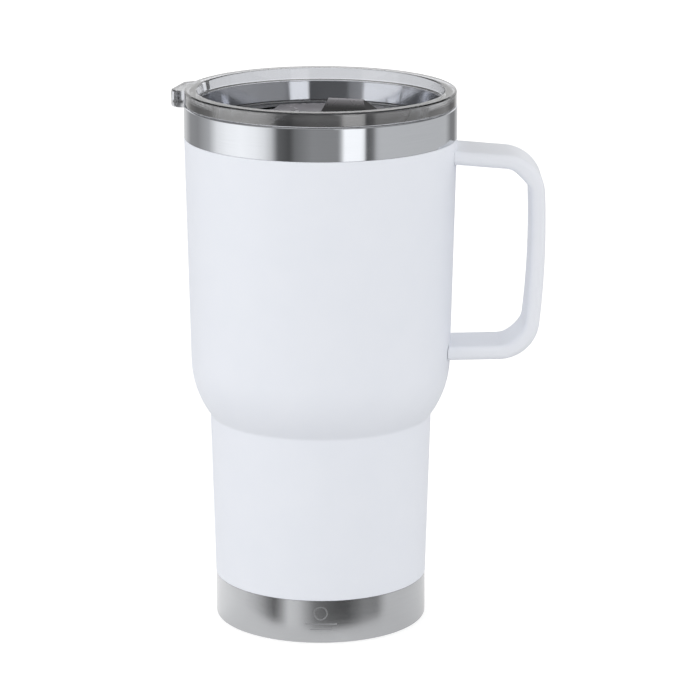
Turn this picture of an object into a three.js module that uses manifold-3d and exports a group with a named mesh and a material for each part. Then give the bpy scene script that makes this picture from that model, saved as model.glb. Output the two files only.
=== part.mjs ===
// Insulated travel mug: double-walled steel cup with a side handle, and a clear push-in lid whose
// turning closure opens the drinking slot. Millimetres, +Z up, the cup's axis on Z, its foot on z = 0
// and the handle towards +X.
import * as THREE from "three";
import { ConvexGeometry } from "three/addons/geometries/ConvexGeometry.js";
import { mergeVertices } from "three/addons/utils/BufferGeometryUtils.js";
import Module from "manifold-3d";

const wasm = await Module();
wasm.setup();

// ---- driving dimensions -------------------------------------------------------------------------

const FACETS = 40; // round the cup and the lid
const GAP = 0.3; // between pieces that touch
const SHEET = 0.5; // steel wall
const COAT = 0.3; // powder coating
const COAT_GAP = 0.1; // between the coating and the shell under it

const RIM_Z = 195.6; // top of the steel
const COAT_TOP = 183.5;
const COAT_BOTTOM = 16.5;
const BAND_R = 50.2; // bare band under the rim
const BASE_R = 39.6; // bare band at the foot
const FOOT_EDGE = 0.6;
const UPPER_R = 50.25; // coated wall at COAT_TOP
const UPPER_TAPER = 0.0226; // change of radius per mm of height
const LOWER_R = 39.7; // coated wall at COAT_BOTTOM
const LOWER_TAPER = 0.0272;
const SHOULDER_R = 35; // arc of the shoulder, tangent to the upper wall
const SHOULDER_TOP = 99.0;
const NECK_FILLET = 2.5; // where the shoulder meets the lower wall

const LINER_IN = 3.4; // from the coated surface to the liner's outside
const MOUTH_R = 46.6; // inside of the straight mouth
const FLARE_R = 48.5; // inside of the rim, above the straight mouth
const FLARE_DEPTH = 9.5;
const LINER_FLOOR = 9.0; // underside of the liner's floor
const LINER_CORNER = 6;

const STRAP_WIDTH = 24; // handle strap
const STRAP_THICK = 5.4;
const STRAP_EDGE = 2.2;
const BEND_R = 12.4; // handle's centre line at both bends
const GRIP_R = 325; // the slight bow of the grip between them
const BEND_STEPS = 6;
const GRIP_STEPS = 4;
const TOP_BEND = [67.3, 163.4]; // x and z of the bend centres
const LOW_BEND = [66.0, 116.2];
const TOP_SLOPE = THREE.MathUtils.degToRad(4.6); // the upper arm falls outwards
const LOW_SLOPE = THREE.MathUtils.degToRad(1.2); // the lower arm rises outwards
const TOP_SWELL = 0.9; // the strap is thicker inside its bends
const LOW_SWELL = 0.5;
const SCREW_AT = 7; // from the wall, along the arm

// Heights of the lid and the closure are from the cup's rim.
const LID_TURN = THREE.MathUtils.degToRad(-15.5); // lid's own +X against the cup's
const FLANGE_R = 49.95;
const FLANGE = [0.3, 5.4]; // bottom and top
const PLUG_GAP = 0.5; // between the plug and the flared mouth
const GROOVE_R = 44.4;
const GROOVE = [-13, -9.2]; // bottom and top of the gasket's groove
const SKIRT_FOOT = -13.8;
const LID_FLOOR = -6.6;
const WELL_R = 35.3;
const WELL_FLOOR = -8.2;
const LID_UNDER = -10.2;
const DISC_R = 34.9;
const DISC = [-7.8, -6.3]; // bottom and top of the closure's disc
const CHORD = -23.4; // straight cut of the disc
const SLOT = { x: 28.2, long: 22, wide: 7.5 };
const TAB = { x: -50, deep: 9.8, long: 21, corner: 2.6, bottom: -2.2, top: 4.1 };

// ---- materials ----------------------------------------------------------------------------------

const steel = new THREE.MeshStandardMaterial({ color: 0xb9bcbf, roughness: 0.25, metalness: 1 });
const coat = new THREE.MeshStandardMaterial({ color: 0xe9edf5, roughness: 0.5, metalness: 0 });
const moulded = new THREE.MeshStandardMaterial({ color: 0xe8ecf3, roughness: 0.45, metalness: 0 });
const clear = new THREE.MeshStandardMaterial({
  color: 0xdfe4e8, roughness: 0.05, metalness: 0, transparent: true, opacity: 0.35,
});
const smoke = new THREE.MeshStandardMaterial({ color: 0x66686c, roughness: 0.2, metalness: 0 });
const silicone = new THREE.MeshStandardMaterial({ color: 0xdcdfe2, roughness: 0.6, metalness: 0 });
const alloy = new THREE.MeshStandardMaterial({ color: 0x8d8f92, roughness: 0.6, metalness: 0.8 });

// ---- building helpers ---------------------------------------------------------------------------

// A three.js geometry as a manifold solid.
function solid(geometry) {
  const bare = geometry.index ? geometry.toNonIndexed() : geometry.clone();
  for (const name of ["normal", "uv"]) bare.deleteAttribute(name);
  const merged = mergeVertices(bare, 1e-4);
  const faces = [];
  for (let i = 0; i < merged.index.count; i += 3) {
    const [a, b, c] = [0, 1, 2].map((k) => merged.index.getX(i + k));
    if (a !== b && b !== c && c !== a) faces.push(a, b, c);
  }
  return new wasm.Manifold(
    new wasm.Mesh({
      numProp: 3,
      vertProperties: merged.attributes.position.array,
      triVerts: new Uint32Array(faces),
    }),
  );
}

// Profile points [radius, z], anticlockwise, turned about the Z axis.
function turned(profile, facets = FACETS) {
  const onAxis = profile[0][0] === 0;
  const points = onAxis ? profile : [...profile, profile[0]];
  const lathe = new THREE.LatheGeometry(points.map(([r, z]) => new THREE.Vector2(r, z)), facets);
  return solid(lathe.rotateX(Math.PI / 2));
}

// A flat outline in x and y, raised from one height to another.
function raised(shape, bottom, top) {
  const body = new THREE.ExtrudeGeometry(shape, {
    depth: top - bottom, bevelEnabled: false, curveSegments: 5,
  });
  return solid(body.translate(0, 0, bottom));
}

function block(x0, x1, y0, y1, z0, z1) {
  const box = new THREE.BoxGeometry(x1 - x0, y1 - y0, z1 - z0);
  return solid(box.translate((x0 + x1) / 2, (y0 + y1) / 2, (z0 + z1) / 2));
}

// A rectangle with rounded corners, centred on (x, y).
function roundedRectangle(x, y, width, height, corner) {
  const [w, h] = [width / 2, height / 2];
  const shape = new THREE.Shape();
  shape.absarc(x + w - corner, y - h + corner, corner, -Math.PI / 2, 0);
  shape.absarc(x + w - corner, y + h - corner, corner, 0, Math.PI / 2);
  shape.absarc(x - w + corner, y + h - corner, corner, Math.PI / 2, Math.PI);
  shape.absarc(x - w + corner, y - h + corner, corner, Math.PI, Math.PI * 1.5);
  return shape;
}

// Points of an arc, from one angle to another in degrees, ends included.
function arc(x, z, radius, from, to, steps) {
  return Array.from({ length: steps + 1 }, (_, i) => {
    const a = THREE.MathUtils.degToRad(from + ((to - from) * i) / steps);
    return [x + radius * Math.cos(a), z + radius * Math.sin(a)];
  });
}

function moved(body, matrix) {
  return body.transform(matrix.elements);
}

const part = new THREE.Group();

function add(name, body, material) {
  const data = body.getMesh();
  const geometry = new THREE.BufferGeometry();
  const positions = new Float32Array(data.numVert * 3);
  for (let i = 0; i < data.numVert; i++) {
    positions.set(data.vertProperties.subarray(i * data.numProp, i * data.numProp + 3), i * 3);
  }
  geometry.setAttribute("position", new THREE.BufferAttribute(positions, 3));
  geometry.setIndex(new THREE.BufferAttribute(data.triVerts, 1));
  geometry.computeVertexNormals();
  const mesh = new THREE.Mesh(geometry, material);
  mesh.name = name;
  part.add(mesh);
}

// ---- the cup's wall -----------------------------------------------------------------------------

const upperRadius = (z) => UPPER_R + UPPER_TAPER * (z - COAT_TOP);
const lowerRadius = (z) => LOWER_R + LOWER_TAPER * (z - COAT_BOTTOM);

// The coated surface from the foot band to the rim band, moved inwards by `inset`: the lower wall,
// a hollow fillet, the round shoulder and the upper wall.
function wallLine(inset, bottom, top) {
  const upper = Math.atan(UPPER_TAPER);
  const lower = Math.atan(LOWER_TAPER);
  const centre = [
    upperRadius(SHOULDER_TOP) - SHOULDER_R * Math.cos(upper),
    SHOULDER_TOP + SHOULDER_R * Math.sin(upper),
  ];
  // The fillet's centre is NECK_FILLET outside the lower wall and outside the shoulder's arc.
  const away = SHOULDER_R + NECK_FILLET;
  const offset = NECK_FILLET / Math.cos(lower);
  let neckZ = SHOULDER_TOP - SHOULDER_R / 2;
  for (let i = 0; i < 20; i++) {
    const x = lowerRadius(neckZ) + offset - centre[0];
    neckZ = centre[1] - Math.sqrt(away * away - x * x);
  }
  const neck = [lowerRadius(neckZ) + offset, neckZ];
  const meet = THREE.MathUtils.radToDeg(Math.atan2(neck[1] - centre[1], neck[0] - centre[0]));
  const lowerDeg = THREE.MathUtils.radToDeg(lower);
  const upperDeg = THREE.MathUtils.radToDeg(upper);
  return [
    [lowerRadius(bottom) - inset, bottom],
    ...arc(...neck, NECK_FILLET + inset, 180 - lowerDeg, 180 + meet, 2),
    ...arc(...centre, SHOULDER_R - inset, meet, -upperDeg, 5).slice(1),
    [upperRadius(top) - inset, top],
  ];
}

const UNDER_COAT = COAT + COAT_GAP;

function outerShell() {
  const outside = [
    [34.4, 0],
    ...arc(BASE_R - FOOT_EDGE, FOOT_EDGE, FOOT_EDGE, -90, 0, 2),
    [BASE_R, COAT_BOTTOM - GAP],
    ...wallLine(UNDER_COAT, COAT_BOTTOM, COAT_TOP),
    [BAND_R, COAT_TOP + GAP],
    [BAND_R, RIM_Z - 0.4],
    [BAND_R - 0.4, RIM_Z],
  ];
  const inside = [
    [BAND_R - SHEET, RIM_Z],
    ...wallLine(UNDER_COAT + SHEET, COAT_BOTTOM, COAT_TOP).reverse(),
    [BASE_R - UNDER_COAT - SHEET, 1.2],
    [BASE_R - 1.2, SHEET],
    [34.9, SHEET],
    [34.9, 3],
    [34.4, 3],
  ];
  return turned([...outside, ...inside]);
}

function powderCoat() {
  return turned([
    ...wallLine(0, COAT_BOTTOM, COAT_TOP),
    ...wallLine(COAT, COAT_BOTTOM, COAT_TOP).reverse(),
  ]);
}

// The liner: a rounded floor, a tapered wall, a straight mouth for the gasket and a flare to the rim.
function innerLiner() {
  const lipR = BAND_R - SHEET - GAP;
  const flareFoot = RIM_Z - FLARE_DEPTH;
  const line = (inset) => wallLine(inset, LINER_FLOOR + LINER_CORNER, flareFoot - 10);
  const floor = (inset) => {
    const r = LINER_CORNER - inset;
    const side = lowerRadius(LINER_FLOOR + LINER_CORNER) - LINER_IN - LINER_CORNER;
    return arc(side, LINER_FLOOR + LINER_CORNER, r, -90, -10, 3);
  };
  return turned([
    [0, LINER_FLOOR],
    ...floor(0),
    ...line(LINER_IN),
    [MOUTH_R + SHEET, flareFoot - 6],
    [MOUTH_R + SHEET, flareFoot],
    [FLARE_R + 0.3, RIM_Z - 1],
    [lipR, RIM_Z - 1],
    [lipR, RIM_Z],
    [FLARE_R + 0.3, RIM_Z],
    [FLARE_R, RIM_Z - 0.4],
    [MOUTH_R, flareFoot],
    [MOUTH_R, flareFoot - 6],
    ...line(LINER_IN + SHEET).reverse(),
    ...floor(SHEET).reverse(),
    [0, LINER_FLOOR + SHEET],
  ]);
}

// ---- vacuum base, getter and cover plate --------------------------------------------------------

const PLATE = [4.0, 4.6]; // vacuum plate
const PORT_R = 1.5;
const GETTER_X = -15;

function vacuumBase() {
  const r = BASE_R - UNDER_COAT - SHEET - GAP;
  return turned([
    [PORT_R, PLATE[0]],
    [r - 0.6, PLATE[0]],
    [r - 0.6, 3],
    [r, 3],
    [r, PLATE[1]],
    [PORT_R, PLATE[1]],
  ]);
}

function portSeal() {
  const under = PLATE[0] - GAP;
  return turned(
    [
      [0, under - 1],
      [1.6, under - 0.8],
      [2.4, under],
      [PORT_R - GAP, under],
      [PORT_R - GAP, PLATE[1] - 0.1],
      [0, PLATE[1] - 0.1],
    ],
    16,
  );
}

function getterHolder() {
  const floor = PLATE[1] + GAP;
  const profile = [
    [0, floor],
    [5.9, floor],
    [5.9, floor + 2.4],
    [5.4, floor + 2.4],
    [5.4, floor + 0.4],
    [0, floor + 0.4],
  ];
  return turned(profile, 24).translate([GETTER_X, 0, 0]);
}

function getterPill() {
  const floor = PLATE[1] + GAP + 0.4 + GAP;
  const profile = [
    [0, floor],
    [4.6, floor],
    [5, floor + 0.4],
    [5, floor + 1.8],
    [4.6, floor + 2.2],
    [0, floor + 2.2],
  ];
  return turned(profile, 24).translate([GETTER_X, 0, 0]);
}

function baseCover() {
  return turned([
    [0, 1.0],
    [30, 1.0],
    [32.6, 0.5],
    [34.0, 0.5],
    [34.0, 1.1],
    [32.8, 1.1],
    [30.1, 1.6],
    [0, 1.6],
  ]);
}

// ---- handle -------------------------------------------------------------------------------------

// Where an arm's centre line meets the wall, and the arm's own frame there: +X out along the arm, +Z
// across its thickness. `side` is 1 for the upper arm and -1 for the lower.
function arm(bend, slope, side) {
  const wall = upperRadius(bend[1] + side * BEND_R);
  const rise = BEND_R / Math.cos(slope) + (bend[0] - wall) * Math.tan(slope);
  const z = bend[1] + side * rise;
  const frame = new THREE.Matrix4().makeRotationY(side * slope).setPosition(wall, 0, z);
  return { wall, z, frame };
}

const ARMS = {
  upper: arm(TOP_BEND, TOP_SLOPE, 1),
  lower: arm(LOW_BEND, LOW_SLOPE, -1),
};

// The strap's centre line: [x, z, direction of its outer side in degrees, extra thickness inside].
// Both bends touch the large circle of the grip, whose centre lies far behind the cup.
function strapLine() {
  const [top, low] = [TOP_BEND, LOW_BEND].map((p) => new THREE.Vector2(...p));
  const half = top.clone().sub(low).multiplyScalar(0.5);
  const back = Math.sqrt((GRIP_R - BEND_R) ** 2 - half.lengthSq());
  const centre = top.clone().sub(half).addScaledVector(new THREE.Vector2(-half.y, half.x).normalize(), back);
  const towards = (p) => THREE.MathUtils.radToDeg(p.clone().sub(centre).angle());
  const [topEnd, lowEnd] = [towards(top), towards(low) - 360];
  const topStart = 90 - THREE.MathUtils.radToDeg(TOP_SLOPE);
  const lowStart = THREE.MathUtils.radToDeg(LOW_SLOPE) - 90;
  const stretch = ({ x, y }, radius, from, to, steps, swell) =>
    Array.from({ length: steps + 1 }, (_, i) => {
      const a = from + ((to - from) * i) / steps;
      return [...arc(x, y, radius, a, a, 1)[0], a, swell * Math.sin((Math.PI * i) / steps) ** 2];
    });
  const inside = 44; // both ends start inside the wall and are cut to it
  const reach = ({ wall, z }, slope) => z + (wall - inside) * Math.tan(slope);
  return [
    [inside, reach(ARMS.upper, TOP_SLOPE), topStart, 0],
    ...stretch(top, BEND_R, topStart, topEnd, BEND_STEPS, TOP_SWELL),
    ...stretch(centre, GRIP_R, topEnd, lowEnd, GRIP_STEPS, 0).slice(1, -1),
    ...stretch(low, BEND_R, lowEnd, lowStart, BEND_STEPS, LOW_SWELL),
    [inside, reach(ARMS.lower, -LOW_SLOPE), lowStart, 0],
  ];
}

// The strap: one rounded section carried along the centre line.
function strap() {
  const corners = roundedRectangle(0, 0, STRAP_THICK, STRAP_WIDTH, STRAP_EDGE);
  const section = corners.getPoints(3).slice(0, -1);
  const unique = section.filter((p, i) => p.distanceTo(section[(i + 1) % section.length]) > 1e-6);
  const positions = [];
  for (const [x, z, angle, swell] of strapLine()) {
    const a = THREE.MathUtils.degToRad(angle);
    for (const p of unique) {
      const out = p.x < 0 ? p.x - swell : p.x;
      positions.push(x + out * Math.cos(a), p.y, z + out * Math.sin(a));
    }
  }
  const n = unique.length;
  const rings = positions.length / 3 / n;
  const faces = [];
  for (let i = 0; i + 1 < rings; i++) {
    for (let k = 0; k < n; k++) {
      const [a, b] = [i * n + k, i * n + ((k + 1) % n)];
      faces.push(a, a + n, b, b, a + n, b + n);
    }
  }
  const last = (rings - 1) * n;
  for (let k = 1; k + 1 < n; k++) {
    faces.push(0, k, k + 1, last, last + k + 1, last + k);
  }
  const geometry = new THREE.BufferGeometry();
  geometry.setAttribute("position", new THREE.Float32BufferAttribute(positions, 3));
  geometry.setIndex(faces);
  return solid(geometry);
}

// What the handle leaves free in one arm: the bracket's pocket and the screw's stepped hole.
function armSpaces() {
  const half = STRAP_THICK / 2;
  const pocket = block(-4, 13, -7.5, 7.5, -1, 1);
  const hole = turned(
    [
      [0, -half - 1],
      [3.0, -half - 1],
      [3.0, -half],
      [1.8, -half + 1.2],
      [1.8, 1.7],
      [0, 1.7],
    ],
    16,
  );
  return pocket.add(hole.translate([SCREW_AT, 0, 0]));
}

function handle() {
  const wall = turned([
    [0, 95],
    [upperRadius(95) + GAP, 95],
    [upperRadius(185) + GAP, 185],
    [0, 185],
  ]);
  let body = strap().subtract(wall);
  for (const { frame } of Object.values(ARMS)) {
    body = body.subtract(moved(armSpaces(), frame));
  }
  return body;
}

// A tab inside the arm on a foot that fills the window in the coating.
function bracket({ frame, z }) {
  const ring = turned([
    [upperRadius(z - 4) - COAT - 0.05, z - 4],
    [upperRadius(z - 4), z - 4],
    [upperRadius(z + 4), z + 4],
    [upperRadius(z + 4) - COAT - 0.05, z + 4],
  ]);
  const foot = moved(block(-4, 1, -8, 8, -1.75, 1.75), frame).intersect(ring);
  const hole = turned([[0, -2], [1.8, -2], [1.8, 2], [0, 2]], 16);
  const tab = block(-0.1, 12, -7, 7, -0.75, 0.75).subtract(hole.translate([SCREW_AT, 0, 0]));
  const behind = block(-2, 0, -7, 7, -0.75, 0.75);
  const wall = turned([
    [0, z - 4],
    [upperRadius(z - 4) - COAT, z - 4],
    [upperRadius(z + 4) - COAT, z + 4],
    [0, z + 4],
  ]);
  return moved(tab.add(behind), frame).subtract(wall).add(foot);
}

function coatWindow({ frame }) {
  return moved(block(-4, 2, -8.35, 8.35, -2.1, 2.1), frame);
}

function screw({ frame }) {
  const head = -STRAP_THICK / 2 + 0.15;
  const body = turned(
    [
      [0, head],
      [2.5, head],
      [2.5, head + 0.15],
      [1.4, head + 1.2],
      [1.4, 1.2],
      [1.0, 1.4],
      [0, 1.4],
    ],
    16,
  );
  const socket = raised(hexagon(0.9), head - 1, head + 0.8);
  return moved(body.subtract(socket).translate([SCREW_AT, 0, 0]), frame);
}

function hexagon(radius) {
  const shape = new THREE.Shape();
  const corners = Array.from({ length: 6 }, (_, i) => (i * Math.PI) / 3);
  shape.setFromPoints(
    corners.map((a) => new THREE.Vector2(radius * Math.cos(a), radius * Math.sin(a))),
  );
  return shape;
}

// ---- lid, in its own frame: +X to the drinking side, z = 0 at the cup's rim ----------------------

const lidFrame = new THREE.Matrix4().makeRotationZ(LID_TURN).setPosition(0, 0, RIM_Z);
const BOSS_R = 4.3; // closure's boss, through the lid's floor
const BOSS_HOLE_R = BOSS_R + 0.5;
const VENT = { x: 25.5, y: 15.5, r: 1.3 };

// The plug's outside follows the flared mouth.
const plugRadius = (z) => FLARE_R - PLUG_GAP + (z * (FLARE_R - MOUTH_R)) / FLARE_DEPTH;

function lidDish() {
  return turned([
    [BOSS_HOLE_R, LID_UNDER],
    [40.2, LID_UNDER],
    [41.2, SKIRT_FOOT],
    [45.4, SKIRT_FOOT],
    [45.9, SKIRT_FOOT + 0.5],
    [45.9, GROOVE[0]],
    [GROOVE_R, GROOVE[0]],
    [GROOVE_R, GROOVE[1]],
    [plugRadius(GROOVE[1]), GROOVE[1]],
    [plugRadius(0), 0],
    [plugRadius(0), FLANGE[0]],
    [FLANGE_R - 0.3, FLANGE[0]],
    [FLANGE_R, FLANGE[0] + 0.3],
    [FLANGE_R, FLANGE[1] - 0.6],
    [FLANGE_R - 0.6, FLANGE[1]],
    [46.1, FLANGE[1]],
    [45.5, FLANGE[1] - 0.6],
    [42.95, LID_FLOOR + 0.5],
    [42.5, LID_FLOOR],
    [WELL_R, LID_FLOOR],
    [WELL_R, WELL_FLOOR],
    [BOSS_HOLE_R, WELL_FLOOR],
  ]);
}

// A plain cylinder about the Z axis.
const drum = (radius, bottom, top, facets) =>
  turned([[0, bottom], [radius, bottom], [radius, top], [0, top]], facets);

// Pull tab opposite the drinking side, hanging a little over the steel rim.
function pullTab() {
  const outline = roundedRectangle(TAB.x, 0, TAB.deep, TAB.long, TAB.corner);
  return raised(outline, TAB.bottom, TAB.top)
    .subtract(drum(BAND_R + 0.4, TAB.bottom - 1, FLANGE[0]))
    .subtract(drum(plugRadius(0) - 1, 0, TAB.top + 1));
}

function lidBody() {
  const slot = roundedRectangle(SLOT.x, 0, SLOT.wide, SLOT.long, SLOT.wide / 2 - 0.01);
  const vent = drum(VENT.r, LID_UNDER - 1, WELL_FLOOR + 1, 12).translate([VENT.x, VENT.y, 0]);
  return lidDish()
    .add(pullTab())
    .subtract(raised(slot, LID_UNDER - 1, WELL_FLOOR + 1))
    .subtract(vent);
}

function lidGasket() {
  const [low, high] = [GROOVE[0] + GAP, GROOVE[1] - GAP];
  const rib = MOUTH_R - 0.25;
  return turned([
    [GROOVE_R + GAP, low],
    [rib - 0.6, low],
    [rib, low + 0.5],
    [rib - 0.6, low + 1.2],
    [rib - 0.6, high - 1.2],
    [rib, high - 0.5],
    [rib - 0.6, high],
    [GROOVE_R + GAP, high],
  ]);
}

// ---- closure, in the lid's frame ----------------------------------------------------------------

const PAD = { long: 25, wide: 10, thick: 0.6 };
const PIN_R = 1.6;
const PIN_TOP = DISC[0] + 0.3;

// The thumb wedge: a level ridge along +X, a steep push face towards -Y, and slopes on its other sides.
function thumbWedge() {
  const ridge = 2.4;
  const foot = DISC[1] - 0.5;
  const points = [
    [3, 0, ridge],
    [16.1, 0, ridge],
    [-0.8, -7.4, foot],
    [20, -7.4, foot],
    [30, 1.5, foot],
    [24, 8, foot],
    [2, 8, foot],
  ];
  return solid(new ConvexGeometry(points.map((p) => new THREE.Vector3(...p))));
}

function closureDisc() {
  const disc = turned([
    [0, DISC[0]],
    [DISC_R, DISC[0]],
    [DISC_R, DISC[1] - 0.3],
    [DISC_R - 0.3, DISC[1]],
    [0, DISC[1]],
  ]);
  const boss = drum(BOSS_R, LID_UNDER + GAP, DISC[1] - 0.5, 24);
  const bore = drum(PIN_R + GAP, LID_UNDER - 1, PIN_TOP + GAP, 16);
  const recess = raised(
    roundedRectangle(SLOT.x - 0.3, 0, PAD.wide + 2 * GAP, PAD.long + 2 * GAP, PAD.wide / 2),
    DISC[0] - 1,
    DISC[0] - 0.1 + PAD.thick + GAP,
  );
  const cut = block(-40, CHORD, -40, 40, DISC[0] - 1, DISC[1] + 1);
  return disc.add(boss).subtract(bore).subtract(recess).subtract(cut).add(thumbWedge());
}

function closureSeal() {
  const pad = roundedRectangle(SLOT.x - 0.3, 0, PAD.wide, PAD.long, PAD.wide / 2 - 0.01);
  return raised(pad, DISC[0] - 0.1, DISC[0] - 0.1 + PAD.thick);
}

const PIN_HEAD = [LID_UNDER - 2.4, LID_UNDER - 1.4];

function closurePivot() {
  return turned(
    [
      [0, PIN_HEAD[0]],
      [6.1, PIN_HEAD[0]],
      [6.5, PIN_HEAD[0] + 0.4],
      [6.5, PIN_HEAD[1]],
      [PIN_R, PIN_HEAD[1]],
      [PIN_R, PIN_TOP - 0.3],
      [PIN_R - 0.4, PIN_TOP],
      [0, PIN_TOP],
    ],
    24,
  );
}

function pivotRing() {
  const [low, high] = [PIN_HEAD[1] + GAP, LID_UNDER - GAP];
  const r = (high - low) / 2;
  return turned(arc(5.5, low + r, r, 0, 315, 7), 24);
}

// ---- assembly -----------------------------------------------------------------------------------

add("outer_shell", outerShell(), steel);
add(
  "powder_coat",
  powderCoat().subtract(coatWindow(ARMS.upper)).subtract(coatWindow(ARMS.lower)),
  coat,
);
add("inner_liner", innerLiner(), steel);
add("vacuum_base", vacuumBase(), steel);
add("port_seal", portSeal(), alloy);
add("getter_holder", getterHolder(), steel);
add("getter", getterPill(), alloy);
add("base_cover", baseCover(), steel);
add("handle", handle(), moulded);
add("handle_bracket_upper", bracket(ARMS.upper), steel);
add("handle_bracket_lower", bracket(ARMS.lower), steel);
add("handle_screw_upper", screw(ARMS.upper), steel);
add("handle_screw_lower", screw(ARMS.lower), steel);
add("lid_gasket", moved(lidGasket(), lidFrame), silicone);
add("lid_body", moved(lidBody(), lidFrame), clear);
add("closure_disc", moved(closureDisc(), lidFrame), smoke);
add("closure_seal", moved(closureSeal(), lidFrame), silicone);
add("closure_pivot", moved(closurePivot(), lidFrame), smoke);
add("pivot_o_ring", moved(pivotRing(), lidFrame), silicone);

export default part;
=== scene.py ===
"""Looks of the insulated travel mug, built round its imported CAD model.

Metres in Blender, millimetres in the outlines below. +Z is up on the cup's axis, the handle is
towards +X and the camera looks along +Y.
"""
import math

import bmesh
import bpy
from mathutils import Matrix, Vector


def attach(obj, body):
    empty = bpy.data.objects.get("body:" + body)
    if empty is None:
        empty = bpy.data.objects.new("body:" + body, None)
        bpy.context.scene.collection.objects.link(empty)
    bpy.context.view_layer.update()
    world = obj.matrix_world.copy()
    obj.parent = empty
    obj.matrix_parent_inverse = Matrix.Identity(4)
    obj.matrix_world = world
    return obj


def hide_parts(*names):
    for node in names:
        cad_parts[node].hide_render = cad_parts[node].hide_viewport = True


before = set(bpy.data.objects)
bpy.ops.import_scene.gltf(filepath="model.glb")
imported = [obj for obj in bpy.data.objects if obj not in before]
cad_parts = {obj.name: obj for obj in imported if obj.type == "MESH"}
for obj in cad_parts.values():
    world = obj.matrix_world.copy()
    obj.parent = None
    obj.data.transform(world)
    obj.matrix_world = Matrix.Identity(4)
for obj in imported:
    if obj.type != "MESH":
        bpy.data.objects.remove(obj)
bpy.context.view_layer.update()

MM = 0.001

# ---- dimensions, in millimetres ------------------------------------------------------------------

RIM_Z = 195.6
COAT_TOP, COAT_BOTTOM = 183.5, 16.5
BAND_R, BASE_R = 50.2, 39.6
UPPER_R, UPPER_TAPER = 50.25, 0.0226
LOWER_R, LOWER_TAPER = 39.7, 0.0272
SHOULDER_R, SHOULDER_TOP = 35.0, 99.0
NECK_FILLET = 2.5
SHEET = 0.5
COAT, COAT_GAP = 0.3, 0.1
LINER_IN, LINER_FLOOR = 3.9, 9.5
MOUTH_R, FLARE_R, FLARE_DEPTH = 46.6, 48.5, 9.5

STRAP_WIDTH, STRAP_THICK, STRAP_EDGE = 24.0, 5.4, 2.2
BEND_R, GRIP_R = 12.4, 325.0
TOP_BEND, LOW_BEND = (67.3, 163.4), (66.0, 116.2)
TOP_SLOPE, LOW_SLOPE = math.radians(4.6), math.radians(1.2)
TOP_SWELL, LOW_SWELL = 0.9, 0.5
SCREW_AT = 7.0

# Heights of the lid and the closure are from the cup's rim.
LID_TURN = math.radians(-15.5)
FLANGE_R, FLANGE_BOTTOM, LID_TOP = 49.95, 0.3, 5.4
PLUG_GAP = 0.5
GROOVE_R, GROOVE_BOTTOM, GROOVE_TOP = 44.4, -13.0, -9.2
SKIRT_FOOT = -13.8
LID_FLOOR, LID_UNDER = -6.6, -10.2
WELL_R, WELL_FLOOR = 35.3, -8.2
DISC_R, DISC_BOTTOM, DISC_TOP = 34.9, -7.8, -6.3
CHORD = -23.4
SLOT_X, SLOT_LONG, SLOT_WIDE = 28.2, 22.0, 7.5
WEDGE_RIDGE = 2.4
BOSS_R = 4.3
PIN_R, PIN_TOP = 1.6, -7.5

MARK_RING_R, MARK_RING_Z, MARK_LINE = 2.4, 11.6, 0.5
MARK_STROKES = [(7.4, 6.0), (5.4, 4.2)]  # height and half length

ROUND = 180  # facets round the cup

# ---- outlines ------------------------------------------------------------------------------------


def arc(x, z, radius, start, end, steps):
    """Points of an arc, both ends included; angles in degrees."""
    angles = [math.radians(start + (end - start) * i / steps) for i in range(steps + 1)]
    return [(x + radius * math.cos(a), z + radius * math.sin(a)) for a in angles]


def rounded(corners, closed=True):
    """An outline through corners (x, z, radius), each rounded by an arc of its radius."""
    outline = []
    last = len(corners) - 1
    for i, (x, z, radius) in enumerate(corners):
        here = Vector((x, z))
        if radius == 0 or (not closed and i in (0, last)):
            outline.append((x, z))
            continue
        back = Vector(corners[i - 1][:2]) - here
        ahead = Vector(corners[(i + 1) % len(corners)][:2]) - here
        half = back.angle(ahead) / 2
        reach = min(radius / math.tan(half), 0.48 * back.length, 0.48 * ahead.length)
        radius = reach * math.tan(half)
        back_way, ahead_way = back.normalized(), ahead.normalized()
        centre = here + (back_way + ahead_way).normalized() * radius / math.sin(half)
        first = here + back_way * reach - centre
        final = here + ahead_way * reach - centre
        sweep = math.pi - 2 * half
        if first.x * final.y - first.y * final.x < 0:
            sweep = -sweep
        steps = max(2, math.ceil(abs(sweep) / math.radians(15)))
        start = math.degrees(math.atan2(first.y, first.x))
        outline += arc(*centre, radius, start, start + math.degrees(sweep), steps)
    return outline


def rectangle(x, y, width, height, corner):
    """A rounded rectangle centred on (x, y), anticlockwise."""
    w, h = width / 2, height / 2
    corners = [(x + w, y - h), (x + w, y + h), (x - w, y + h), (x - w, y - h)]
    return rounded([(*c, corner) for c in corners])


def upper_radius(z):
    return UPPER_R + UPPER_TAPER * (z - COAT_TOP)


def lower_radius(z):
    return LOWER_R + LOWER_TAPER * (z - COAT_BOTTOM)


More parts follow.
